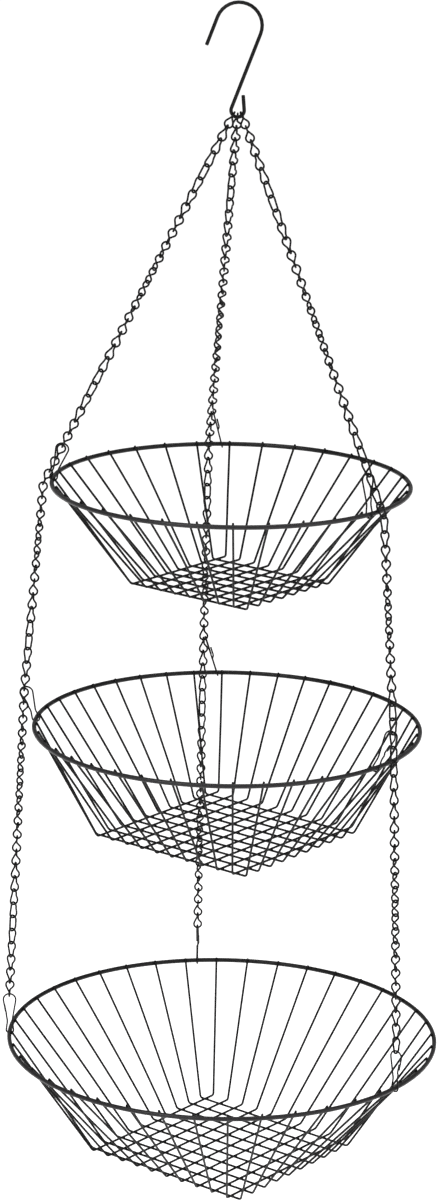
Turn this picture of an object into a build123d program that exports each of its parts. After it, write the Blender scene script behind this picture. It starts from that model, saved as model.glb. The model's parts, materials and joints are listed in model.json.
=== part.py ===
"""Three-tier hanging wire produce basket: an S-hook, three chains, nine clips and three wire bowls.

Millimetres, +Z up.  The origin is the seat of the hook: the highest point inside its big bend, where the
basket hangs from a ceiling hook or a rail.  The bowls are level and share the Z axis.
"""
from build123d import *
from math import acos, atan2, cos, pi, radians, sin, sqrt
import os

# Wire diameters
HOOK_WIRE = 2.5
LINK_WIRE = 1.4
CLIP_WIRE = 1.2
RIM_WIRE = 3.2
BOWL_WIRE = 1.6

# Hook: a wide open crook, a leaning shank and a narrow eye with a short tail
CROOK_RADIUS = 15.3
HOOK_LEAN = 20.5
CROOK_TIP = 20.0
EYE_RADIUS = 4.4
EYE_TAIL = 10.0
EYE_TAIL_LEAN = 5.0
HOOK_PLAY = 0.8

# Chain link: a wire loop twisted a quarter turn, so its two ends stand square to each other
LINK_PITCH = 9.85
LINK_BEND = 2.8
LINK_SWERVE = 45.0
LINK_PLAY = 0.2
LINK_SEAM = 0.1

# Chain runs, named for where they hang; azimuths in degrees from +X towards +Y
AZIMUTHS = {"left": 180.5, "back": 99.0, "right": -36.0}
EYE_ANGLES = {"left": -42.0, "back": 0.0, "right": 42.0}
UPPER_TURNS = {"left": 2, "back": 2, "right": 1}
LOWER_TURNS = {"left": 1, "back": 1, "right": -1}
UPPER_LINKS = 29
LINKS_PAST_CLIP = 3
MIDDLE_LINKS = 15
LOWER_LINKS = 23
TOP_FLANK_GAP = 6.0
MIDDLE_FLANK_GAP = 7.2
BOTTOM_FLANK_GAP = 0.4

# Clip: a long wire loop, wide through the link and pinched above the bulb that holds the rim
CLIP_HEIGHT = 27.5
CLIP_SHIFT = 3.9
CLIP_SEAT = 1.15
CLIP_PLAY = 0.3
CLIP_TOP_RADIUS = 4.4
CLIP_BULB_RADIUS = 2.6
CLIP_PINCH = 1.65
CLIP_PINCH_HEIGHT = 7.0
CLIP_PINCH_RADIUS = 8.0
CLIP_JOG_FROM = 12.0
CLIP_JOG_TO = 10.0
CLIP_JOG_RADIUS = 2.0
CLIP_LAP_END = 3.5
CLIP_END = 8.5
CLIP_FIT = 0.15

# Bowls: rim outside diameter, depth, wires along each side of the square base, pitch of those wires
BOWLS = {
    "top": (248.0, 70.5, 8, 12.8),
    "middle": (271.0, 78.5, 10, 13.4),
    "bottom": (304.8, 85.5, 10, 13.6),
}
BASE_CORNER = -82.0
BASE_BEND = 3.0
WELD_GAP = 0.03
WIRE_TIP = 1.2


def radial(azimuth):
    """Horizontal unit vector that points away from the axis."""
    return Vector(cos(radians(azimuth)), sin(radians(azimuth)), 0)


def tangential(azimuth):
    """Horizontal unit vector along a rim, towards growing azimuth."""
    return Vector(-sin(radians(azimuth)), cos(radians(azimuth)), 0)


def at(azimuth, radius, height):
    """Point on a level circle about the Z axis."""
    return radial(azimuth) * radius + Vector(0, 0, height)


def rim_radius(bowl):
    """Radius of the centreline of a bowl's rim wire."""
    return (BOWLS[bowl][0] - RIM_WIRE) / 2


def drop(links, run_out):
    """Height that a straight run of links comes down while it moves out sideways."""
    return sqrt((links * LINK_PITCH) ** 2 - run_out**2)


# Levels, worked out from the seat of the hook down the chains
LEAN = radians(HOOK_LEAN)
CROOK_Z = HOOK_WIRE / 2 - CROOK_RADIUS
EYE_Z = CROOK_Z - (EYE_RADIUS + CROOK_RADIUS) / sin(LEAN)
CHAIN_TOP_Z = EYE_Z - EYE_RADIUS + (HOOK_WIRE + LINK_WIRE) / 2
TOP_FLANK = rim_radius("top") + TOP_FLANK_GAP
MIDDLE_FLANK = rim_radius("middle") + MIDDLE_FLANK_GAP
BOTTOM_FLANK = rim_radius("bottom") + BOTTOM_FLANK_GAP
TOP_PIVOT_Z = CHAIN_TOP_Z - drop(UPPER_LINKS, TOP_FLANK)
MIDDLE_PIVOT_Z = TOP_PIVOT_Z - drop(MIDDLE_LINKS, MIDDLE_FLANK - TOP_FLANK)
BOTTOM_PIVOT_Z = MIDDLE_PIVOT_Z - drop(LOWER_LINKS, BOTTOM_FLANK - MIDDLE_FLANK)
JOINT_LAP = LINK_WIRE + LINK_PLAY


def eye_point(side, radius=EYE_RADIUS):
    """Point on the round of the hook's eye where the top link of a chain sits."""
    angle = radians(EYE_ANGLES[side])
    return Vector(radius * sin(angle), 0, EYE_Z - radius * cos(angle))


def upper_ends(side):
    """First and last joint of the run from the hook to the flank of the top rim."""
    last = at(AZIMUTHS[side], TOP_FLANK, TOP_PIVOT_Z)
    down = (last - eye_point(side)).normalized()
    first = eye_point(side) - down * ((HOOK_WIRE + LINK_WIRE + HOOK_PLAY - JOINT_LAP) / 2)
    return first, last


def middle_ends(side):
    """First and last joint of the run from the top rim to the middle clip."""
    return at(AZIMUTHS[side], TOP_FLANK, TOP_PIVOT_Z), at(AZIMUTHS[side], MIDDLE_FLANK, MIDDLE_PIVOT_Z)


def lower_ends(side):
    """First and last joint of the run from the middle clip to the bottom clip."""
    return at(AZIMUTHS[side], MIDDLE_FLANK, MIDDLE_PIVOT_Z), at(AZIMUTHS[side], BOTTOM_FLANK, BOTTOM_PIVOT_Z)


def link_locations(side, ends, count, turn_from, turn_to, still=0):
    """Places of the links of one run, each a little further round than the link above it."""
    first, last = ends
    step = (last - first) / count
    up = -step.normalized()
    across = tangential(AZIMUTHS[side])
    outward = across.cross(up)
    places = []
    for index in range(count):
        share = min(1.0, index / (count - 1 - still))
        turn = radians(turn_from + (turn_to - turn_from) * share)
        facing = outward * cos(turn) + across * sin(turn)
        places.append(Plane(first + step * (index + 0.5), x_dir=facing, z_dir=up).location)
    return places


def hook_turn(side):
    """Turn of a top link about its chain that sets its bend square over the wire of the eye."""
    first, last = upper_ends(side)
    down = (last - first).normalized()
    angle = radians(EYE_ANGLES[side])
    wire = Vector(cos(angle), 0, sin(angle))
    facing = down.cross(wire)
    across = tangential(AZIMUTHS[side])
    outward = across.cross(-down)
    return atan2(facing.dot(across), facing.dot(outward)) * 180 / pi


def clip_seat(side, ends, links_left, shift):
    """Top of a clip's centreline, resting in the lower bend of a link."""
    first, last = ends
    down = (last - first).normalized()
    joint = last - down * (links_left * LINK_PITCH)
    bend_centre = joint + down * (JOINT_LAP / 2 - LINK_BEND)
    reach = LINK_BEND - (LINK_WIRE + CLIP_WIRE) / 2 - CLIP_PLAY
    return bend_centre - tangential(AZIMUTHS[side]) * shift + down * sqrt(reach**2 - shift**2)


def rim_z(bowl, seat, azimuth):
    """Level of a rim that hangs on a clip from the given seat."""
    level = at(azimuth, rim_radius(bowl), 0) - seat
    return seat.Z - sqrt(CLIP_HEIGHT**2 - level.X**2 - level.Y**2)


SEATS = {
    "top": {side: clip_seat(side, upper_ends(side), LINKS_PAST_CLIP, CLIP_SEAT) for side in AZIMUTHS},
    "middle": {side: clip_seat(side, middle_ends(side), 0, CLIP_SEAT) for side in AZIMUTHS},
    "bottom": {side: clip_seat(side, lower_ends(side), 0, 0.0) for side in AZIMUTHS},
}
SHIFTS = {"top": CLIP_SHIFT, "middle": CLIP_SHIFT, "bottom": 0.0}
RIM_Z = {
    bowl: rim_z(bowl, SEATS[bowl]["left"], AZIMUTHS["left"] - SHIFTS[bowl]) for bowl in BOWLS
}

# Hook, bent in the XZ plane from the blunt tip round the crook and down to the eye
lean_down = Vector(-sin(LEAN), 0, -cos(LEAN))
lean_side = Vector(cos(LEAN), 0, -sin(LEAN))
tail_lean = radians(EYE_TAIL_LEAN)
tail_up = Vector(-sin(tail_lean), 0, cos(tail_lean))
tail_side = Vector(cos(tail_lean), 0, sin(tail_lean))
crook_centre = Vector(0, 0, CROOK_Z)
crook_left = crook_centre - lean_side * CROOK_RADIUS
crook_right = crook_centre + lean_side * CROOK_RADIUS
eye_centre = Vector(0, 0, EYE_Z)
eye_left = eye_centre - lean_side * EYE_RADIUS
eye_right = eye_centre + tail_side * EYE_RADIUS
with BuildPart() as hook:
    with BuildLine() as hook_path:
        Line(crook_left + lean_down * CROOK_TIP, crook_left)
        ThreePointArc(crook_left, crook_centre - lean_down * CROOK_RADIUS, crook_right)
        Line(crook_right, eye_left)
        ThreePointArc(eye_left, eye_centre - Vector(0, 0, EYE_RADIUS), eye_right)
        Line(eye_right, eye_right + tail_up * EYE_TAIL)
    with BuildSketch(Plane(hook_path.wire() @ 0, z_dir=hook_path.wire() % 0)):
        Circle(HOOK_WIRE / 2)
    sweep(path=hook_path.wire())

# One chain link, its upper bend in the XZ plane and its lower bend in the YZ plane.  Each strand between
# the bends swerves sideways on two equal arcs with a short straight between them.  The wire's two ends
# butt together in the straight of one strand.
bend_z = (LINK_PITCH + JOINT_LAP) / 2 - LINK_BEND
swerve = radians(LINK_SWERVE)
strand_shift = LINK_BEND * sqrt(2)
swerve_radius = (2 * bend_z * sin(swerve) - strand_shift * cos(swerve)) / (2 - 2 * cos(swerve))
swerve_drop = swerve_radius * sin(swerve)
swerve_shift = swerve_radius * (1 - cos(swerve))


def strand_bend(start, end):
    """Arc that turns a strand out of the vertical at start, in the plane that end lies in."""
    half_drop = swerve_radius * sin(swerve / 2)
    half_shift = swerve_radius * (1 - cos(swerve / 2))
    side = Vector(end.X - start.X, end.Y - start.Y, 0).normalized()
    way = Vector(0, 0, 1 if end.Z > start.Z else -1)
    middle = start + way * half_drop + side * half_shift
    return start, middle, start + way * swerve_drop + side * swerve_shift


with BuildPart() as link:
    with BuildLine() as link_path:
        upper_right = Vector(LINK_BEND, 0, bend_z)
        upper_left = Vector(-LINK_BEND, 0, bend_z)
        lower_right = Vector(0, LINK_BEND, -bend_z)
        lower_left = Vector(0, -LINK_BEND, -bend_z)
        out_of_upper = strand_bend(upper_right, lower_right)
        out_of_lower = strand_bend(lower_right, upper_right)
        seam_half = (out_of_upper[2] - out_of_lower[2]).normalized() * (LINK_SEAM / 2)
        seam_centre = (out_of_upper[2] + out_of_lower[2]) / 2
        start = Line(seam_centre + seam_half, out_of_upper[2])
        ThreePointArc(*reversed(out_of_upper))
        ThreePointArc(upper_right, (0, 0, bend_z + LINK_BEND), upper_left)
        left_bend = strand_bend(upper_left, lower_left)
        left_return = strand_bend(lower_left, upper_left)
        ThreePointArc(*left_bend)
        Line(left_bend[2], left_return[2])
        ThreePointArc(*reversed(left_return))
        ThreePointArc(lower_left, (0, 0, -bend_z - LINK_BEND), lower_right)
        ThreePointArc(*out_of_lower)
        Line(out_of_lower[2], seam_centre - seam_half)
    with BuildSketch(Plane(start @ 0, z_dir=start % 0)):
        Circle(LINK_WIRE / 2)
    sweep(path=link_path.wire())


def build_chain(label, places):
    """One run of loose links: a group that holds a solid for every link."""
    return Compound(label=label, children=[link.part.moved(place) for place in places])


def build_rim(bowl):
    """Heavy wire ring round the mouth of a bowl."""
    with BuildPart() as rim:
        with BuildSketch(Plane.XZ):
            with Locations((rim_radius(bowl), RIM_Z[bowl])):
                Circle(RIM_WIRE / 2)
        revolve(axis=Axis.Z)
    rim.part.label = bowl + "_rim"
    return rim.part


def build_wire(bowl, turn, base_z, place):
    """One bowl wire: down from the rim, straight over the base and up to the far side of the rim.

    The wire is flat.  Its plane leans, because wires fan out from the base to even places on the rim.
    """
    pitch = BOWLS[bowl][3]
    half_base = BOWLS[bowl][2] * pitch / 2
    offset = place * pitch
    fan = radians(place * 90 / BOWLS[bowl][2])
    slope = atan2(RIM_Z[bowl] - base_z, rim_radius(bowl) - sqrt(half_base**2 + offset**2))
    weld = (RIM_WIRE + BOWL_WIRE) / 2 + WELD_GAP
    tip_radius = rim_radius(bowl) - weld * sin(slope) + WIRE_TIP * cos(slope)
    tip_z = RIM_Z[bowl] + weld * cos(slope) + WIRE_TIP * sin(slope)
    reach = tip_radius * cos(fan)
    along = radial(BASE_CORNER + turn)
    across = tangential(BASE_CORNER + turn)
    rise = across * (tip_radius * sin(fan) - offset) + Vector(0, 0, tip_z - base_z)
    plane = Plane(across * offset + Vector(0, 0, base_z), x_dir=along, z_dir=along.cross(rise))
    with BuildPart() as wire:
        with BuildLine(plane) as path:
            FilletPolyline(
                (-reach, rise.length),
                (-half_base, 0),
                (half_base, 0),
                (reach, rise.length),
                radius=BASE_BEND,
            )
        with BuildSketch(Plane(path.line @ 0, z_dir=path.line % 0)):
            Circle(BOWL_WIRE / 2)
        sweep(path=path.line)
    return wire.part


def build_wires(bowl, family, turn, layer):
    """One family of parallel bowl wires, all at one level in the base."""
    base_z = RIM_Z[bowl] - BOWLS[bowl][1] + layer * (BOWL_WIRE + WELD_GAP)
    count = BOWLS[bowl][2]
    wires = [build_wire(bowl, turn, base_z, index - (count - 1) / 2) for index in range(count)]
    return Compound(label=bowl + "_wires_" + family, children=wires)


def tangent_point(centre, radius, point, side):
    """Where a line from the point touches a circle about the given height; side is +1 or -1."""
    reach = (point - centre).length
    angle = atan2(point.Y - centre.Y, point.X - centre.X) + side * acos(radius / reach)
    return centre + Vector(cos(angle), sin(angle), 0) * radius


def build_clip(bowl, side):
    """Long spring-wire loop from a chain link to the rim; its ends lie side by side on the outer leg."""
    azimuth = AZIMUTHS[side] - SHIFTS[bowl]
    seat = SEATS[bowl][side]
    foot = at(azimuth, rim_radius(bowl), RIM_Z[bowl])
    height = (seat - foot).length
    up = (seat - foot).normalized()
    outward = (radial(azimuth) - up * radial(azimuth).dot(up)).normalized()
    top_centre = Vector(0, height - CLIP_TOP_RADIUS, 0)
    bulb_centre = Vector(0, CLIP_BULB_RADIUS - (CLIP_WIRE + RIM_WIRE) / 2 - CLIP_FIT, 0)
    pinch = Vector(CLIP_PINCH, CLIP_PINCH_HEIGHT, 0)
    shoulder = tangent_point(top_centre, CLIP_TOP_RADIUS, pinch, 1)
    neck = tangent_point(bulb_centre, CLIP_BULB_RADIUS, pinch, -1)
    leg = (pinch - shoulder).normalized()
    beside = Vector(0, 0, CLIP_WIRE + CLIP_FIT)
    left_leg = [Vector(-point.X, point.Y, 0) for point in (shoulder, pinch, neck)]
    right_leg = [
        neck,
        pinch,
        shoulder + leg * CLIP_JOG_FROM,
        shoulder + leg * CLIP_JOG_TO + beside,
        shoulder + leg * CLIP_LAP_END + beside,
    ]
    place = Plane(foot, x_dir=outward, z_dir=outward.cross(up)).from_local_coords
    top = place(Vector(0, height, 0))
    bottom = place(bulb_centre - Vector(0, CLIP_BULB_RADIUS, 0))
    left_leg = [place(point) for point in left_leg]
    right_leg = [place(point) for point in right_leg]
    wire_start = place(shoulder + leg * CLIP_END)
    with BuildPart() as clip:
        with BuildLine() as path:
            Line(wire_start, place(shoulder))
            ThreePointArc(place(shoulder), top, left_leg[0])
            FilletPolyline(*left_leg, radius=CLIP_PINCH_RADIUS)
            ThreePointArc(left_leg[-1], bottom, right_leg[0])
            FilletPolyline(*right_leg, radius=(CLIP_PINCH_RADIUS, CLIP_JOG_RADIUS, CLIP_JOG_RADIUS))
        with BuildSketch(Plane(path.wire() @ 0, z_dir=path.wire() % 0)):
            Circle(CLIP_WIRE / 2)
        sweep(path=path.wire())
    clip.part.label = bowl + "_clip_" + side
    return clip.part


hook.part.label = "hook"
built = [hook.part]
for side in AZIMUTHS:
    start = hook_turn(side)
    upper_stop = 180.0 * UPPER_TURNS[side]
    lower_stop = 180.0 * LOWER_TURNS[side]
    upper = link_locations(side, upper_ends(side), UPPER_LINKS, start, upper_stop, LINKS_PAST_CLIP)
    middle = link_locations(side, middle_ends(side), MIDDLE_LINKS, 0.0, 180.0)
    lower = link_locations(side, lower_ends(side), LOWER_LINKS, 0.0, lower_stop)
    built.append(build_chain("chain_upper_" + side, upper))
    built.append(build_chain("chain_middle_" + side, middle))
    built.append(build_chain("chain_lower_" + side, lower))
for bowl in BOWLS:
    built.append(build_rim(bowl))
    built.append(build_wires(bowl, "lower", 45.0, 0))
    built.append(build_wires(bowl, "upper", 135.0, 1))
    for side in AZIMUTHS:
        built.append(build_clip(bowl, side))

os.makedirs("parts", exist_ok=True)
for piece in built:
    export_step(piece, "parts/" + piece.label + ".step")
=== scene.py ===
import json
from math import acos, atan2, cos, pi, radians, sin, sqrt, tan

import bpy
from mathutils import Matrix, Quaternion, Vector, noise


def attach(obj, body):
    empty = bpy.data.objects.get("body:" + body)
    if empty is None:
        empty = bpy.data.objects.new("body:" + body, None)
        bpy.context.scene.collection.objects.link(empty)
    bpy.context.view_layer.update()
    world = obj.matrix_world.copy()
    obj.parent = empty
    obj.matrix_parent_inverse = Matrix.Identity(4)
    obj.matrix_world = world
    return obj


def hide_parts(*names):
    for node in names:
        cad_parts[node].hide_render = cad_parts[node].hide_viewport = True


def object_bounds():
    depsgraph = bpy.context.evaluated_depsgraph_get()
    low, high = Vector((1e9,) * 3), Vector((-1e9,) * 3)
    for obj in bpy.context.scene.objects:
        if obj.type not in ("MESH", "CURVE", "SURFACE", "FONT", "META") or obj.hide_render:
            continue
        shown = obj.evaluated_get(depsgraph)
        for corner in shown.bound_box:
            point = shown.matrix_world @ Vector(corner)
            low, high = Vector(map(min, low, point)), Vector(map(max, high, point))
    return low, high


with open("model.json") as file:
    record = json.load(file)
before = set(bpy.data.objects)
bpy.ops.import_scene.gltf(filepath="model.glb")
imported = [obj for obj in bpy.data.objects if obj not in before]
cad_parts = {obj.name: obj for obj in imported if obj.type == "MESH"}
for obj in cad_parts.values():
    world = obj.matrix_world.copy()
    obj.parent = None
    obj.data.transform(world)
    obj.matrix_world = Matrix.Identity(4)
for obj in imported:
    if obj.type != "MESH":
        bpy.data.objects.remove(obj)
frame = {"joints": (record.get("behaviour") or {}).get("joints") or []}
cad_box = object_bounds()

MM = 0.001
UP = Vector((0, 0, 1))

# Wire diameters, as in the CAD model
HOOK_WIRE = 2.5
LINK_WIRE = 1.4
CLIP_WIRE = 1.2
RIM_WIRE = 3.2
BOWL_WIRE = 1.6

# Hook: crook, shank, eye and the tail of the eye
CROOK_RADIUS = 15.3
HOOK_LEAN = 20.5
CROOK_TIP = 20.0
EYE_RADIUS = 4.4
EYE_TAIL = 10.0
EYE_TAIL_LEAN = 5.0
HOOK_PLAY = 0.8

# Chain link: two bends square to each other, joined by two strands that swerve
LINK_PITCH = 9.85
LINK_BEND = 2.8
LINK_SWERVE = 45.0
LINK_PLAY = 0.2
LINK_SEAM = 0.1
JOINT_LAP = LINK_WIRE + LINK_PLAY

# Chain runs: azimuth, angle on the hook's eye, and half turns of the upper and the lower run
SIDES = {
    "left": (180.5, -42.0, 2, 1),
    "back": (99.0, 0.0, 2, 1),
    "right": (-36.0, 42.0, 1, -1),
}
UPPER_LINKS = 29
LINKS_PAST_CLIP = 3
MIDDLE_LINKS = 15
LOWER_LINKS = 23

# Clip: shift round the rim and off the middle of its link, then the shape of its loop
CLIP_HEIGHT = 27.5
CLIP_SHIFT = {"top": 3.9, "middle": 3.9, "bottom": 0.0}
CLIP_SEAT = {"top": 1.15, "middle": 1.15, "bottom": 0.0}
CLIP_PLAY = 0.3
CLIP_TOP_RADIUS = 4.4
CLIP_BULB_RADIUS = 2.6
CLIP_PINCH = Vector((1.65, 7.0, 0))
CLIP_PINCH_RADIUS = 8.0
CLIP_JOG_FROM = 12.0
CLIP_JOG_TO = 10.0
CLIP_JOG_RADIUS = 2.0
CLIP_LAP_END = 3.5
CLIP_END = 8.5
CLIP_FIT = 0.15

# Bowls: outside diameter of the rim, depth, wires in each family and their pitch on the base
BOWLS = {
    "top": (248.0, 70.5, 8, 12.8),
    "middle": (271.0, 78.5, 10, 13.4),
    "bottom": (304.8, 85.5, 10, 13.6),
}
# Families of bowl wires: their turn from the near corner of the base, and their layer
FAMILIES = {"lower": (45.0, 0), "upper": (135.0, 1)}
BASE_CORNER = -82.0
BASE_BEND = 3.0
WELD_GAP = 0.03
WIRE_TIP = 1.2

# How finely the wires are drawn: sides of a wire, steps of a bend and of the rim in degrees,
# steps of a straight run in millimetres, and the least distance between two points
THICK_SIDES = 18
WIRE_SIDES = 12
LINK_SIDES = 12
BEND_STEP = 11.0
RIM_STEP = 1.5
RUN_STEP = 6.0
SAME_PLACE = 1e-4

# Waviness of a bowl wire, which fades over a few points towards its ends, and the places in the
# noise where its three directions are read
WAVE = 0.12
WAVE_LENGTH = 45.0
WAVE_FADE = 6
WAVE_SHIFTS = ((0, 0, 0), (17.3, 5.1, 0), (0, 11.7, 23.9))

# Build-up of the coating, as a share of the wire's thickness
BUILD_UP = 0.025
BUILD_UP_LENGTH = 9.0

# Rounding of a cut end, in wire radii: distance back from the end, and width there
CUT_END = ((0.5, 1.0), (0.2, 0.93), (0.05, 0.78), (0.0, 0.55))

# Place where the ends of a rim are welded together: azimuth, swelling, and its reach in diameters
RIM_SEAM = 58.0
RIM_SEAM_SWELL = 0.09
RIM_SEAM_REACH = 1.3

# Weld beads: half sizes at the rim and on the base, roundness and lumps
RIM_WELD = (1.25, 0.78, 0.5)
BASE_WELD = (0.88, 0.88, 0.5)
WELD_ROUNDS = 10
WELD_LEVELS = 5
WELD_LUMP = 0.14
WELD_LUMP_SCALE = 1.7
WELD_SEED_STEPS = (3.1, 1.7, 1)

# Wear: reach of a rubbed contact; painted light: how much lighter the outer side of a rim is
# painted, and its falloff across the wire
RUB_REACH = 1.1
RIM_PAINTED_LIGHT = 0.15
RIM_PAINTED_LIGHT_FALLOFF = 0.6

# Clouds in the coating: how fine (per metre), how detailed, and the part of their range in use
PATCHES = (70.0, 4.0, 0.35, 0.65)
SPECKLES = (900.0, 6.0, 0.5, 0.72)
BREAKS = (2600.0, 4.0, 0.3, 0.6)
GLOSS_CLOUDS = (240.0, 5.0, 0.3, 0.7)
PEEL = (1500.0, 2.0)
DENTS = (180.0, 3.0)

# What the clouds do to its colour, its gloss and its surface
DARK_PATCH = 0.6
LIGHT_PATCH = 1.5
DUST_COLOUR = (0.16, 0.155, 0.15)
DUST_SLOPE = 0.55
DUST_MOST = 0.14
# Next two: colour and least strength of wear where wires rub, also used as painted light on the
# outer side of the rims
WEAR_AND_PAINTED_LIGHT_COLOUR = (0.16, 0.152, 0.165)
WEAR_AND_PAINTED_LIGHT_LEAST = 0.3
SMOOTHER = 0.09
ROUGHER = 0.11
POLISH = 0.14
PEEL_SHARE = 0.35
DENT_SHARE = 0.65
BUMP_METRES = 0.0002
COAT_WEIGHT = 0.03
COAT_ROUGHNESS = 0.22

# Coatings: name, colour, roughness, strength of the surface grain, gloss, and strength of wear
# where they rub and of the painted light on the outer side of the rims
COATINGS = {
    "hook_wire": ("hook_coating", (0.0045, 0.0045, 0.0047), 0.36, 0.35, 0.14, 0.4),
    "chain_wire": ("chain_coating", (0.004, 0.004, 0.0042), 0.40, 0.35, 0.12, 0.4),
    "clip_wire": ("clip_coating", (0.0045, 0.0045, 0.0047), 0.38, 0.3, 0.14, 0.3),
    # The rim's large share of wear also sets how strong the painted light on its outer side is
    "rim_wire": ("rim_coating", (0.006, 0.0059, 0.0062), 0.36, 0.4, 0.2, 0.85),
    "bowl_wire": ("bowl_coating", (0.004, 0.004, 0.0042), 0.42, 0.35, 0.13, 0.0),
}

# Camera
CAMERA_PLACE = Vector((70.1, -2500.0, 271.8))
CAMERA_PITCH = 15.2
CAMERA_YAW = -1.72
CAMERA_ROLL = 0.95
CAMERA_LENS = 112.95
CAMERA_SENSOR = 36.0
CAMERA_REACH = 100.0

# Floor: how far below the basket it lies, its half width and its finish
FLOOR_DROP = 300.0
FLOOR_HALF = 12000.0
FLOOR_TONE = 0.9
FLOOR_ROUGHNESS = 0.9
FLOOR_GLOW = 0.8

# White surroundings and square lights, in metres: place, size and power
SURROUNDINGS = 0.3
LIT_PLACE = (0, 0, -0.42)
LIGHTS = {
    "key": ((-1.1, -1.7, 1.0), 1.2, 30),
    "fill": ((1.7, -1.3, 0.1), 1.6, 12),
    "top": ((0.2, 0.3, 1.6), 1.2, 20),
}


# ------------------------------------------------------------------------------- centrelines
def radial(azimuth):
    """Horizontal unit vector that points away from the axis."""
    return Vector((cos(radians(azimuth)), sin(radians(azimuth)), 0))


def tangential(azimuth):
    """Horizontal unit vector along a rim, towards growing azimuth."""
    return Vector((-sin(radians(azimuth)), cos(radians(azimuth)), 0))


def at(azimuth, radius, height):
    """Point on a level circle about the Z axis."""
    return radial(azimuth) * radius + UP * height


def frame_of(origin, x_axis, z_axis):
    """Matrix of a place with the given origin, X axis and Z axis."""
    axes = Matrix((x_axis, z_axis.cross(x_axis), z_axis)).transposed().to_4x4()
    return Matrix.Translation(origin) @ axes


def arc(centre, start, axis, angle):
    """Points of an arc from start, turned about the axis by the angle in radians."""
    steps = max(2, round(abs(angle) / radians(BEND_STEP)))
    arm = start - centre
    return [centre + Quaternion(axis, angle * k / steps) @ arm for k in range(steps + 1)]


def bend(before, corner, after, radius):
    """Arc that rounds the corner between two straight runs of wire."""
    a = (before - corner).normalized()
    b = (after - corner).normalized()
    turn = pi - a.angle(b)
    start = corner + a * (radius * tan(turn / 2))
    centre = corner + (a + b).normalized() * (radius / cos(turn / 2))
    return arc(centre, start, b.cross(a).normalized(), turn)


def bent_wire(corners, radii):
    """Centreline that runs straight between rounded corners."""
    points = [corners[0]]
    for before, corner, after, radius in zip(corners, corners[1:], corners[2:], radii):
        points += bend(before, corner, after, radius)
    return points + [corners[-1]]


def divided(points):
    """The same centreline with its long straight runs cut into steps."""
    out = [points[0]]
    for a, b in zip(points, points[1:]):
        cuts = max(1, round((b - a).length / RUN_STEP))
        out += [a.lerp(b, k / cuts) for k in range(1, cuts + 1)]
    return out


def wavy(points, seed):
    """The same centreline with the slight waviness of a hand-fed wire, none of it at the ends."""
    shifts = [Vector(shift) + Vector((seed, 0, 0)) for shift in WAVE_SHIFTS]
    out = []
    for index, point in enumerate(points):
        calm = min(1.0, index / WAVE_FADE, (len(points) - 1 - index) / WAVE_FADE)
        wave = Vector([noise.noise(point / WAVE_LENGTH + shift) for shift in shifts])
        out.append(point + wave * WAVE * calm)
    return out


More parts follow.
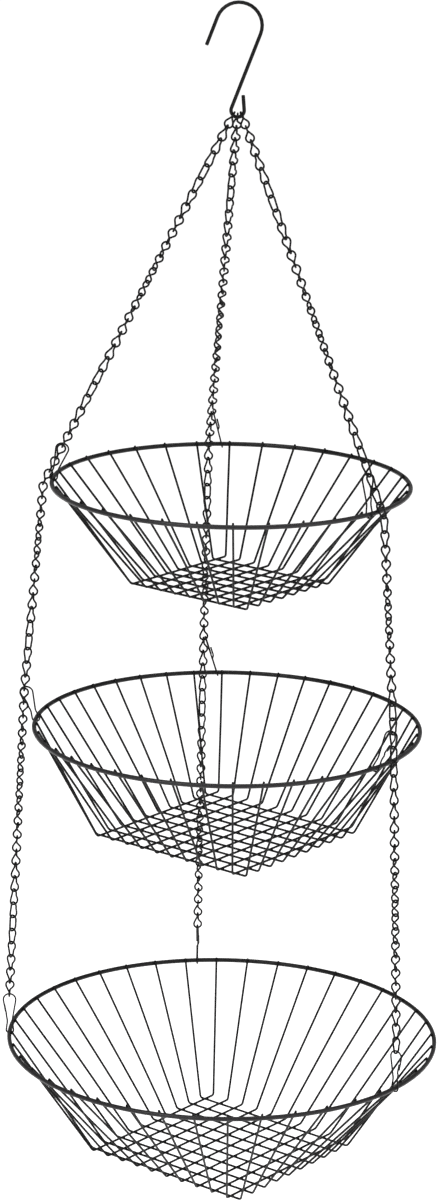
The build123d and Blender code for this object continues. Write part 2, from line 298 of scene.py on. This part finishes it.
# ------------------------------------------------------------------------------------ meshes
class Shape:
    """Points and faces that become one mesh, with a value from 0 to 1 for each point: wear where
    wires rub, and painted light on the outer side of a rim.
    """

    def __init__(self):
        self.points = []
        self.faces = []
        self.rub_and_painted_light = []

    def add(self, points, faces, rub_and_painted_light):
        """Take in more points, faces and values of wear and painted light."""
        first = len(self.points)
        self.points += points
        self.faces += [tuple(first + corner for corner in face) for face in faces]
        self.rub_and_painted_light += rub_and_painted_light

    def add_moved(self, other, matrix):
        """Take in a copy of another shape at the place of the matrix."""
        self.add([matrix @ point for point in other.points], other.faces, other.rub_and_painted_light)

    def add_wire(
        self, path, diameter, sides, closed=False, swell=None, painted_lit_side=None, contacts=()
    ):
        """Round wire along a centreline; its open ends are cut and rounded by the coating."""
        path = [
            point
            for i, point in enumerate(path)
            if i == 0 or (point - path[i - 1]).length > SAME_PLACE
        ]
        count = len(path)
        rings = []
        normal = None
        for i, centre in enumerate(path):
            ahead = path[(i + 1) % count] if closed else path[min(i + 1, count - 1)]
            behind = path[i - 1] if closed else path[max(i - 1, 0)]
            tangent = (ahead - behind).normalized()
            if normal is None:
                normal = tangent.orthogonal().normalized()
            else:
                normal = rings[-1][1].rotation_difference(tangent) @ normal
            thickness = 1 + BUILD_UP * noise.noise(centre / BUILD_UP_LENGTH)
            if swell:
                thickness += swell(centre)
            rings.append((centre, tangent, normal.copy(), diameter / 2 * thickness))
        if not closed:
            rings = cut_end(rings[0], -1)[::-1] + rings[1:-1] + cut_end(rings[-1], 1)
        points = []
        for centre, tangent, normal, radius in rings:
            side = tangent.cross(normal)
            for k in range(sides):
                angle = 2 * pi * k / sides
                points.append(centre + (normal * cos(angle) + side * sin(angle)) * radius)
        faces = []
        for i in range(len(rings) if closed else len(rings) - 1):
            near = i * sides
            far = (i + 1) % len(rings) * sides
            for k in range(sides):
                following = (k + 1) % sides
                faces.append((near + k, near + following, far + following, far + k))
        if not closed:
            last = (len(rings) - 1) * sides
            faces.append(tuple(range(sides - 1, -1, -1)))
            faces.append(tuple(range(last, last + sides)))
        rub_and_painted_light = []
        for point in points:
            # Painted light: the lighter outer side of a rim sets the least value here; contacts
            # add real wear
            least = painted_lit_side(point) if painted_lit_side else 0.0
            nearness = [1 - (point - spot).length / RUB_REACH for spot in contacts]
            rub_and_painted_light.append(max([least] + nearness))
        self.add(points, faces, rub_and_painted_light)

    def add_weld(self, matrix, half_sizes, seed):
        """Bead of weld metal: a squashed lump, a little lopsided and different each time."""
        shift = Vector([seed * step for step in WELD_SEED_STEPS])
        points = []
        for level in range(1, WELD_LEVELS):
            tilt = pi * level / WELD_LEVELS
            for k in range(WELD_ROUNDS):
                turn = 2 * pi * k / WELD_ROUNDS
                way = Vector((sin(tilt) * cos(turn), sin(tilt) * sin(turn), cos(tilt)))
                lump = 1 + WELD_LUMP * noise.noise(way * WELD_LUMP_SCALE + shift)
                points.append(matrix @ Vector(w * h * lump for w, h in zip(way, half_sizes)))
        points.append(matrix @ Vector((0, 0, half_sizes[2])))
        points.append(matrix @ Vector((0, 0, -half_sizes[2])))
        top = len(points) - 2
        bottom = top + 1
        last = (WELD_LEVELS - 2) * WELD_ROUNDS
        faces = []
        for k in range(WELD_ROUNDS):
            following = (k + 1) % WELD_ROUNDS
            faces.append((top, k, following))
            for near in range(0, last, WELD_ROUNDS):
                far = near + WELD_ROUNDS
                faces.append((near + k, far + k, far + following, near + following))
            faces.append((last + k, bottom, last + following))
        self.add(points, faces, [0.0] * len(points))

    def make(self, name, body, slot, nodes=()):
        """Turn the shape into a piece that rides on its body and replaces its CAD nodes."""
        mesh = bpy.data.meshes.new(name)
        mesh.from_pydata([point * MM for point in self.points], [], self.faces)
        mesh.attributes.new("rub_and_painted_light", "FLOAT", "POINT").data.foreach_set("value", self.rub_and_painted_light)
        mesh.materials.append(FINISHES[slot])
        mesh.shade_smooth()
        piece = bpy.data.objects.new(name, mesh)
        bpy.context.scene.collection.objects.link(piece)
        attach(piece, body)
        if nodes:
            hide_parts(*nodes)


def cut_end(ring, way):
    """Rings that round off a cut end; the last of them lies where the wire ends."""
    centre, tangent, normal, radius = ring
    return [
        (centre - tangent * (way * back * radius), tangent, normal, radius * wide)
        for back, wide in CUT_END
    ]


# ---------------------------------------------------------------------------------- finishes
def coated_wire(name, colour, roughness, grain, gloss, wear_and_painted_light_strength):
    """Black coating on steel: uneven gloss, orange peel, a little dust on top, rubbed contacts,
    and painted light on the outer side of the rims.
    """
    material = bpy.data.materials.new(name)
    material.use_nodes = True
    nodes = material.node_tree.nodes
    link = material.node_tree.links.new
    shader = nodes["Principled BSDF"]
    place = nodes.new("ShaderNodeTexCoord")

    def cloud(scale, detail):
        """Noise over the surface."""
        texture = nodes.new("ShaderNodeTexNoise")
        texture.inputs["Scale"].default_value = scale
        texture.inputs["Detail"].default_value = detail
        link(place.outputs["Object"], texture.inputs["Vector"])
        return texture.outputs["Fac"]

    def spread(value, low, high, to_low, to_high):
        """The value with the range from low to high stretched over another range."""
        ramp = nodes.new("ShaderNodeMapRange")
        ramp.inputs["From Min"].default_value = low
        ramp.inputs["From Max"].default_value = high
        ramp.inputs["To Min"].default_value = to_low
        ramp.inputs["To Max"].default_value = to_high
        link(value, ramp.inputs["Value"])
        return ramp.outputs["Result"]

    def clouds(look, to_low, to_high):
        """Noise over the surface, with the used part of its range stretched over another."""
        scale, detail, low, high = look
        return spread(cloud(scale, detail), low, high, to_low, to_high)

    def mixed(factor, first, second):
        """Mix of two colours, each a colour of its own or the output of a node."""
        mix = nodes.new("ShaderNodeMix")
        mix.data_type = "RGBA"
        link(factor, mix.inputs["Factor"])
        for socket, value in (("A", first), ("B", second)):
            end = [s for s in mix.inputs if s.name == socket and s.type == "RGBA"][0]
            if isinstance(value, tuple):
                end.default_value = (*value, 1)
            else:
                link(value, end)
        return [s for s in mix.outputs if s.type == "RGBA"][0]

    def combined(operation, first, second):
        """Sum or product of two values, each a number or the output of a node."""
        maths = nodes.new("ShaderNodeMath")
        maths.operation = operation
        for socket, value in zip(maths.inputs, (first, second)):
            if isinstance(value, float):
                socket.default_value = value
            else:
                link(value, socket)
        return maths.outputs["Value"]

    # Colour: patches of thinner coating, grey dust on what faces up, wear where wires rub, and
    # painted light on the outer side of the rims
    darker = tuple(c * DARK_PATCH for c in colour)
    lighter = tuple(c * LIGHT_PATCH for c in colour)
    coat_colour = mixed(clouds(PATCHES, 0.0, 1.0), darker, lighter)
    facing = nodes.new("ShaderNodeSeparateXYZ")
    shape = nodes.new("ShaderNodeNewGeometry")
    link(shape.outputs["Normal"], facing.inputs["Vector"])
    on_top = spread(facing.outputs["Z"], DUST_SLOPE, 1.0, 0.0, DUST_MOST)
    speckle = clouds(SPECKLES, 0.0, 1.0)
    dusty = mixed(combined("MULTIPLY", on_top, speckle), coat_colour, DUST_COLOUR)
    rub_and_painted_light = nodes.new("ShaderNodeAttribute")
    rub_and_painted_light.attribute_name = "rub_and_painted_light"
    broken = combined("MULTIPLY", rub_and_painted_light.outputs["Fac"], clouds(BREAKS, WEAR_AND_PAINTED_LIGHT_LEAST, 1.0))
    wear_and_painted_light_mix = combined("MULTIPLY", broken, wear_and_painted_light_strength)
    link(mixed(wear_and_painted_light_mix, dusty, WEAR_AND_PAINTED_LIGHT_COLOUR), shader.inputs["Base Color"])

    # Gloss: smoother and rougher stretches, polished where it rubs
    uneven = clouds(GLOSS_CLOUDS, roughness - SMOOTHER, roughness + ROUGHER)
    polished = combined("MULTIPLY", wear_and_painted_light_mix, -POLISH)
    link(combined("ADD", uneven, polished), shader.inputs["Roughness"])

    # Surface: orange peel of the coating over the dents of the wire
    peel = combined("MULTIPLY", cloud(*PEEL), PEEL_SHARE)
    dents = combined("MULTIPLY", cloud(*DENTS), DENT_SHARE)
    bump = nodes.new("ShaderNodeBump")
    bump.inputs["Strength"].default_value = grain
    bump.inputs["Distance"].default_value = BUMP_METRES
    link(combined("ADD", peel, dents), bump.inputs["Height"])
    link(bump.outputs["Normal"], shader.inputs["Normal"])

    shader.inputs["Specular IOR Level"].default_value = gloss
    shader.inputs["Coat Weight"].default_value = COAT_WEIGHT
    shader.inputs["Coat Roughness"].default_value = COAT_ROUGHNESS
    return material


FINISHES = {slot: coated_wire(*coating) for slot, coating in COATINGS.items()}


# ------------------------------------------------------------------------------------ levels
joint_place = {joint["name"]: Vector(joint["pos_m"]) / MM for joint in frame["joints"]}
LEAN = radians(HOOK_LEAN)
CROOK_Z = HOOK_WIRE / 2 - CROOK_RADIUS
EYE_Z = joint_place["rack_swing"].z + EYE_RADIUS
TOP_JOINT = {
    "left": joint_place["middle_swing"],
    "back": joint_place["middle_swing_back"],
    "right": joint_place["middle_swing_right"],
}
MIDDLE_JOINT = {
    "left": joint_place["bottom_swing"],
    "back": joint_place["bottom_swing_back"],
    "right": joint_place["bottom_swing_right"],
}
lower_left_way = (joint_place["bottom_level"] - MIDDLE_JOINT["left"]).normalized()
bottom_left_joint = joint_place["bottom_level"] - lower_left_way * (JOINT_LAP / 2)
BOTTOM_JOINT = {
    side: at(SIDES[side][0], bottom_left_joint.xy.length, bottom_left_joint.z) for side in SIDES
}


def rim_radius(bowl):
    """Radius of the centreline of a bowl's rim wire."""
    return (BOWLS[bowl][0] - RIM_WIRE) / 2


def eye_point(side):
    """Point on the round of the hook's eye where the top link of a chain sits."""
    angle = radians(SIDES[side][1])
    return Vector((EYE_RADIUS * sin(angle), 0, EYE_Z - EYE_RADIUS * cos(angle)))


def upper_ends(side):
    """First and last joint of the run from the hook to the flank of the top rim."""
    last = TOP_JOINT[side]
    down = (last - eye_point(side)).normalized()
    return eye_point(side) - down * ((HOOK_WIRE + HOOK_PLAY - LINK_PLAY) / 2), last


def clip_seat(bowl, side):
    """Top of a clip's centreline, resting in the lower bend of a link."""
    if bowl == "top":
        first, last = upper_ends(side)
    elif bowl == "middle":
        first, last = TOP_JOINT[side], MIDDLE_JOINT[side]
    else:
        first, last = MIDDLE_JOINT[side], BOTTOM_JOINT[side]
    down = (last - first).normalized()
    links_left = LINKS_PAST_CLIP if bowl == "top" else 0
    bend_centre = last - down * (links_left * LINK_PITCH) + down * (JOINT_LAP / 2 - LINK_BEND)
    reach = LINK_BEND - (LINK_WIRE + CLIP_WIRE) / 2 - CLIP_PLAY
    shift = CLIP_SEAT[bowl]
    aside = tangential(SIDES[side][0]) * shift
    return bend_centre - aside + down * sqrt(reach**2 - shift**2)


def rim_level(bowl):
    """Level of a rim that hangs on its left clip."""
    seat = clip_seat(bowl, "left")
    level = at(SIDES["left"][0] - CLIP_SHIFT[bowl], rim_radius(bowl), 0) - seat
    return seat.z - sqrt(CLIP_HEIGHT**2 - level.x**2 - level.y**2)


RIM_Z = {bowl: rim_level(bowl) for bowl in BOWLS}


# -------------------------------------------------------------------------------------- hook
def make_hook():
    """S-hook: round crook, leaning shank and a narrow eye with a short tail."""
    down = Vector((-sin(LEAN), 0, -cos(LEAN)))
    across = Vector((cos(LEAN), 0, -sin(LEAN)))
    tail_lean = radians(EYE_TAIL_LEAN)
    tail_across = Vector((cos(tail_lean), 0, sin(tail_lean)))
    tail_up = Vector((-sin(tail_lean), 0, cos(tail_lean)))
    crook = UP * CROOK_Z
    eye = UP * EYE_Z
    y_axis = Vector((0, 1, 0))
    tip = crook - across * CROOK_RADIUS + down * CROOK_TIP
    path = [tip] + arc(crook, crook - across * CROOK_RADIUS, y_axis, pi)
    path += arc(eye, eye - across * EYE_RADIUS, y_axis, -(pi + LEAN + tail_lean))
    path.append(eye + tail_across * EYE_RADIUS + tail_up * EYE_TAIL)
    contacts = [Vector((0, 0, 0))]
    inside = 1 - HOOK_WIRE / 2 / EYE_RADIUS
    contacts += [eye + (eye_point(side) - eye) * inside for side in SIDES]
    hook = Shape()
    hook.add_wire(divided(path), HOOK_WIRE, THICK_SIDES, contacts=contacts)
    hook.make("hook_wire", "hook", "hook_wire", ["hook"])


# ------------------------------------------------------------------------------------ chains
def link_path():
    """Centreline of a link: two bends square to each other and two strands between them."""
    height = (LINK_PITCH + JOINT_LAP) / 2 - LINK_BEND
    swerve = radians(LINK_SWERVE)
    shift = LINK_BEND * sqrt(2)
    radius = (2 * height * sin(swerve) - shift * cos(swerve)) / (2 - 2 * cos(swerve))

    def strand(upper, lower):
        """Points of a strand from the upper bend to the lower one."""
        side = Vector((lower.x - upper.x, lower.y - upper.y, 0)).normalized()
        turn_axis = side.cross(UP)
        top = arc(upper + side * radius, upper, turn_axis, swerve)
        bottom = arc(lower - side * radius, lower, turn_axis, swerve)
        return top + bottom[::-1]

    upper_right = Vector((LINK_BEND, 0, height))
    upper_left = Vector((-LINK_BEND, 0, height))
    lower_right = Vector((0, LINK_BEND, -height))
    lower_left = Vector((0, -LINK_BEND, -height))
    right = strand(upper_right, lower_right)
    left = strand(upper_left, lower_left)
    half = len(right) // 2
    seam = (right[half - 1] + right[half]) / 2
    seam_gap = (right[half - 1] - right[half]).normalized() * (LINK_SEAM / 2)
    path = [seam + seam_gap] + right[half - 1 :: -1]
    path += arc(UP * height, upper_right, Vector((0, 1, 0)), -pi)
    path += left
    path += arc(-UP * height, lower_left, Vector((1, 0, 0)), pi)
    return path + right[: half - 1 : -1] + [seam - seam_gap]


def make_link():
    """One chain link about its own centre, rubbed inside its two bends."""
    inside = (LINK_PITCH + JOINT_LAP) / 2 - LINK_WIRE / 2
    link = Shape()
    link.add_wire(link_path(), LINK_WIRE, LINK_SIDES, contacts=[UP * inside, -UP * inside])
    return link


def hook_turn(side):
    """Turn of a top link about its chain that sets its bend square over the wire of the eye."""
    azimuth, angle = SIDES[side][0], radians(SIDES[side][1])
    first, last = upper_ends(side)
    down = (last - first).normalized()
    facing = down.cross(Vector((cos(angle), 0, sin(angle))))
    across = tangential(azimuth)
    return atan2(facing.dot(across), facing.dot(across.cross(-down))) * 180 / pi


def make_chain(name, body, side, first, last, count, turn_from, turn_to, still=0):
    """One run of links, each turned a little further than the one above, the last few alike."""
    step = (last - first) / count
    up = -step.normalized()
    across = tangential(SIDES[side][0])
    outward = across.cross(up)
    chain = Shape()
    for index in range(count):
        share = min(1.0, index / (count - 1 - still))
        turn = radians(turn_from + (turn_to - turn_from) * share)
        facing = (outward * cos(turn) + across * sin(turn)).normalized()
        chain.add_moved(LINK, frame_of(first + step * (index + 0.5), facing, up))
    chain.make(name + "_links", body, "chain_wire", [name])


# ------------------------------------------------------------------------------------- clips
def tangent_point(centre, radius, point, side):
    """Where a line from the point touches a circle about the given centre; side is +1 or -1."""
    away = point - centre
    angle = atan2(away.y, away.x) + side * acos(radius / away.length)
    return centre + Vector((cos(angle), sin(angle), 0)) * radius


def make_clip(bowl, side):
    """Spring-wire loop from a link to the rim; its two ends lie side by side on the outer leg."""
    azimuth = SIDES[side][0] - CLIP_SHIFT[bowl]
    seat = clip_seat(bowl, side)
    foot = at(azimuth, rim_radius(bowl), RIM_Z[bowl])
    height = (seat - foot).length
    up = (seat - foot).normalized()
    outward = (radial(azimuth) - up * radial(azimuth).dot(up)).normalized()
    top_centre = Vector((0, height - CLIP_TOP_RADIUS, 0))
    bulb_centre = Vector((0, CLIP_BULB_RADIUS - (CLIP_WIRE + RIM_WIRE) / 2 - CLIP_FIT, 0))
    shoulder = tangent_point(top_centre, CLIP_TOP_RADIUS, CLIP_PINCH, 1)
    neck = tangent_point(bulb_centre, CLIP_BULB_RADIUS, CLIP_PINCH, -1)
    leg = (CLIP_PINCH - shoulder).normalized()
    beside = Vector((0, 0, CLIP_WIRE + CLIP_FIT))
    z_axis = Vector((0, 0, 1))
    inner = [Vector((-point.x, point.y, 0)) for point in (shoulder, CLIP_PINCH, neck)]
    outer = [
        neck,
        CLIP_PINCH,
        shoulder + leg * CLIP_JOG_FROM,
        shoulder + leg * CLIP_JOG_TO + beside,
        shoulder + leg * CLIP_LAP_END + beside,
    ]
    top_turn = 2 * atan2(shoulder.x, shoulder.y - top_centre.y)
    bulb_turn = 2 * (pi - atan2(neck.x, neck.y - bulb_centre.y))
    path = [shoulder + leg * CLIP_END]
    path += arc(top_centre, shoulder, z_axis, top_turn)
    path += bent_wire(inner, [CLIP_PINCH_RADIUS])[1:-1]
    path += arc(bulb_centre, inner[2], z_axis, bulb_turn)
    path += bent_wire(outer, [CLIP_PINCH_RADIUS, CLIP_JOG_RADIUS, CLIP_JOG_RADIUS])[1:]
    place = frame_of(foot, outward, outward.cross(up))
    contacts = [
        place @ Vector((0, height - CLIP_WIRE / 2, 0)),
        place @ Vector((0, -RIM_WIRE / 2, 0)),
    ]
    clip = Shape()
    clip.add_wire([place @ point for point in path], CLIP_WIRE, LINK_SIDES, contacts=contacts)
    node = bowl + "_clip_" + side
    clip.make(node + "_wire", bowl + "_tier", "clip_wire", [node])


# ------------------------------------------------------------------------------------- bowls
def make_rim(bowl):
    """Heavy wire ring, a little thicker where its ends are welded, with painted light on its outer
    side, which is coloured lighter.
    """
    radius = rim_radius(bowl)
    steps = round(360 / RIM_STEP)
    path = [at(360 * k / steps, radius, RIM_Z[bowl]) for k in range(steps)]
    seam = at(RIM_SEAM, radius, RIM_Z[bowl])

    def swell(point):
        """How much thicker the rim is there, as a share of its thickness."""
        away = (point - seam).length / RIM_WIRE / RIM_SEAM_REACH
        return RIM_SEAM_SWELL * max(0.0, 1 - away**2)

    def painted_lit_side(point):
        """Painted light: how much lighter the outer side of the rim is coloured, as a rub value.
        """
        outward = (point.xy.length - radius) / (RIM_WIRE / 2)
        return RIM_PAINTED_LIGHT * max(0.0, outward) ** RIM_PAINTED_LIGHT_FALLOFF

    underside = RIM_Z[bowl] - RIM_WIRE / 2
    contacts = [at(SIDES[side][0] - CLIP_SHIFT[bowl], radius, underside) for side in SIDES]
    rim = Shape()
    rim.add_wire(
        path, RIM_WIRE, THICK_SIDES, closed=True, swell=swell, painted_lit_side=painted_lit_side, contacts=contacts
    )
    rim.make(bowl + "_rim_wire", bowl + "_tier", "rim_wire", [bowl + "_rim"])


def bowl_wire(bowl, family, place):
    """Centreline of one bowl wire: from the rim, across the base and up to the rim again."""
    diameter, depth, count, pitch = BOWLS[bowl]
    turn, layer = FAMILIES[family]
    base_z = RIM_Z[bowl] - depth + layer * (BOWL_WIRE + WELD_GAP)
    half_base = count * pitch / 2
    offset = place * pitch
    fan = radians(place * 90 / count)
    slope = atan2(RIM_Z[bowl] - base_z, rim_radius(bowl) - sqrt(half_base**2 + offset**2))
    weld = (RIM_WIRE + BOWL_WIRE) / 2 + WELD_GAP
    tip_radius = rim_radius(bowl) - weld * sin(slope) + WIRE_TIP * cos(slope)
    tip_z = RIM_Z[bowl] + weld * cos(slope) + WIRE_TIP * sin(slope)
    reach = tip_radius * cos(fan)
    along = radial(BASE_CORNER + turn)
    across = tangential(BASE_CORNER + turn)
    rise = across * (tip_radius * sin(fan) - offset) + UP * (tip_z - base_z)
    start = across * offset + UP * base_z
    corners = [
        start - along * reach + rise,
        start - along * half_base,
        start + along * half_base,
        start + along * reach + rise,
    ]
    return bent_wire(corners, [BASE_BEND, BASE_BEND])


def rim_weld_place(bowl, tip, inner):
    """Place of the bead at a bowl wire's tip: X along the wire, Z from the rim to the wire."""
    along = (tip - inner).normalized()
    nearest = tip - along * WIRE_TIP
    outward = Vector((nearest.x, nearest.y, 0)).normalized()
    rim_point = outward * rim_radius(bowl) + UP * RIM_Z[bowl]
    to_wire = nearest - rim_point
    to_wire = (to_wire - along * to_wire.dot(along)).normalized()
    contact = rim_point + to_wire * (RIM_WIRE / 2)
    return frame_of(contact, along, to_wire)


def make_bowl(bowl):
    """Rim, the two families of bowl wires, and the beads that join them."""
    make_rim(bowl)
    count, pitch = BOWLS[bowl][2:]
    places = [index - (count - 1) / 2 for index in range(count)]
    welds = Shape()
    seed = 0
    for family in FAMILIES:
        wires = Shape()
        for place in places:
            path = bowl_wire(bowl, family, place)
            for tip, inner in ((path[0], path[1]), (path[-1], path[-2])):
                seed += 1
                welds.add_weld(rim_weld_place(bowl, tip, inner), RIM_WELD, seed)
            wires.add_wire(wavy(divided(path), seed), BOWL_WIRE, WIRE_SIDES)
        node = bowl + "_wires_" + family
        wires.make(node + "_coated", bowl + "_tier", "bowl_wire", [node])
    contact_z = RIM_Z[bowl] - BOWLS[bowl][1] + (BOWL_WIRE + WELD_GAP) / 2
    along = radial(BASE_CORNER + FAMILIES["lower"][0])
    across = tangential(BASE_CORNER + FAMILIES["lower"][0])
    for row in places:
        for column in places:
            seed += 1
            centre = along * (row * pitch) + across * (column * pitch) + UP * contact_z
            welds.add_weld(frame_of(centre, along, UP), BASE_WELD, seed)
    welds.make(bowl + "_welds", bowl + "_tier", "bowl_wire")


# ---------------------------------------------------------------------- floor, light, camera
def make_floor():
    """Plain pale floor below the hanging basket."""
    level = cad_box[0].z - FLOOR_DROP * MM
    half = FLOOR_HALF * MM
    outline = ((-half, -half), (half, -half), (half, half), (-half, half))
    corners = [(x, y, level) for x, y in outline]
    mesh = bpy.data.meshes.new("floor")
    mesh.from_pydata(corners, [], [(0, 1, 2, 3)])
    floor = bpy.data.objects.new("floor", mesh)
    bpy.context.scene.collection.objects.link(floor)
    material = bpy.data.materials.new("pale_floor")
    material.use_nodes = True
    shader = material.node_tree.nodes["Principled BSDF"]
    shader.inputs["Base Color"].default_value = (FLOOR_TONE, FLOOR_TONE, FLOOR_TONE, 1)
    shader.inputs["Roughness"].default_value = FLOOR_ROUGHNESS
    shader.inputs["Specular IOR Level"].default_value = 0.0
    shader.inputs["Emission Color"].default_value = (1, 1, 1, 1)
    shader.inputs["Emission Strength"].default_value = FLOOR_GLOW
    mesh.materials.append(material)


def make_surroundings():
    """Even white light from all round."""
    world = bpy.data.worlds.new("studio")
    world.use_nodes = True
    background = world.node_tree.nodes["Background"]
    background.inputs["Color"].default_value = (1, 1, 1, 1)
    background.inputs["Strength"].default_value = SURROUNDINGS
    bpy.context.scene.world = world


def make_light(name, place, size, power):
    """Soft square light that faces the middle of the basket."""
    lamp = bpy.data.lights.new(name, "AREA")
    lamp.size = size
    lamp.energy = power
    light = bpy.data.objects.new(name, lamp)
    light.location = place
    towards = Vector(LIT_PLACE) - Vector(place)
    light.rotation_euler = towards.to_track_quat("-Z", "Y").to_euler()
    bpy.context.scene.collection.objects.link(light)


def make_camera():
    """Camera at the photograph's viewing angle, a little above the bowls."""
    data = bpy.data.cameras.new("camera")
    data.lens = CAMERA_LENS
    data.sensor_width = CAMERA_SENSOR
    data.clip_end = CAMERA_REACH
    camera = bpy.data.objects.new("camera", data)
    camera.location = CAMERA_PLACE * MM
    aside = Quaternion((0, 0, 1), -radians(CAMERA_YAW))
    down = Quaternion((1, 0, 0), radians(90 - CAMERA_PITCH))
    rolled = Quaternion((0, 0, 1), radians(CAMERA_ROLL))
    camera.rotation_mode = "QUATERNION"
    camera.rotation_quaternion = aside @ down @ rolled
    bpy.context.scene.collection.objects.link(camera)
    bpy.context.scene.camera = camera
    bpy.context.scene.view_settings.view_transform = "Standard"


make_surroundings()
for light_name, (light_place, light_size, light_power) in LIGHTS.items():
    make_light(light_name, light_place, light_size, light_power)
make_camera()
make_floor()
make_hook()
LINK = make_link()
for side in SIDES:
    upper_turns, lower_turns = SIDES[side][2:]
    top, middle, bottom = TOP_JOINT[side], MIDDLE_JOINT[side], BOTTOM_JOINT[side]
    eye, flank = upper_ends(side)
    make_chain(
        "chain_upper_" + side, "top_tier", side, eye, flank, UPPER_LINKS,
        hook_turn(side), 180 * upper_turns, LINKS_PAST_CLIP,
    )
    make_chain(
        "chain_middle_" + side, "middle_chain_" + side, side, top, middle, MIDDLE_LINKS, 0, 180
    )
    make_chain(
        "chain_lower_" + side, "lower_chain_" + side, side, middle, bottom, LOWER_LINKS,
        0, 180 * lower_turns,
    )
for bowl in BOWLS:
    make_bowl(bowl)
    for side in SIDES:
        make_clip(bowl, side)
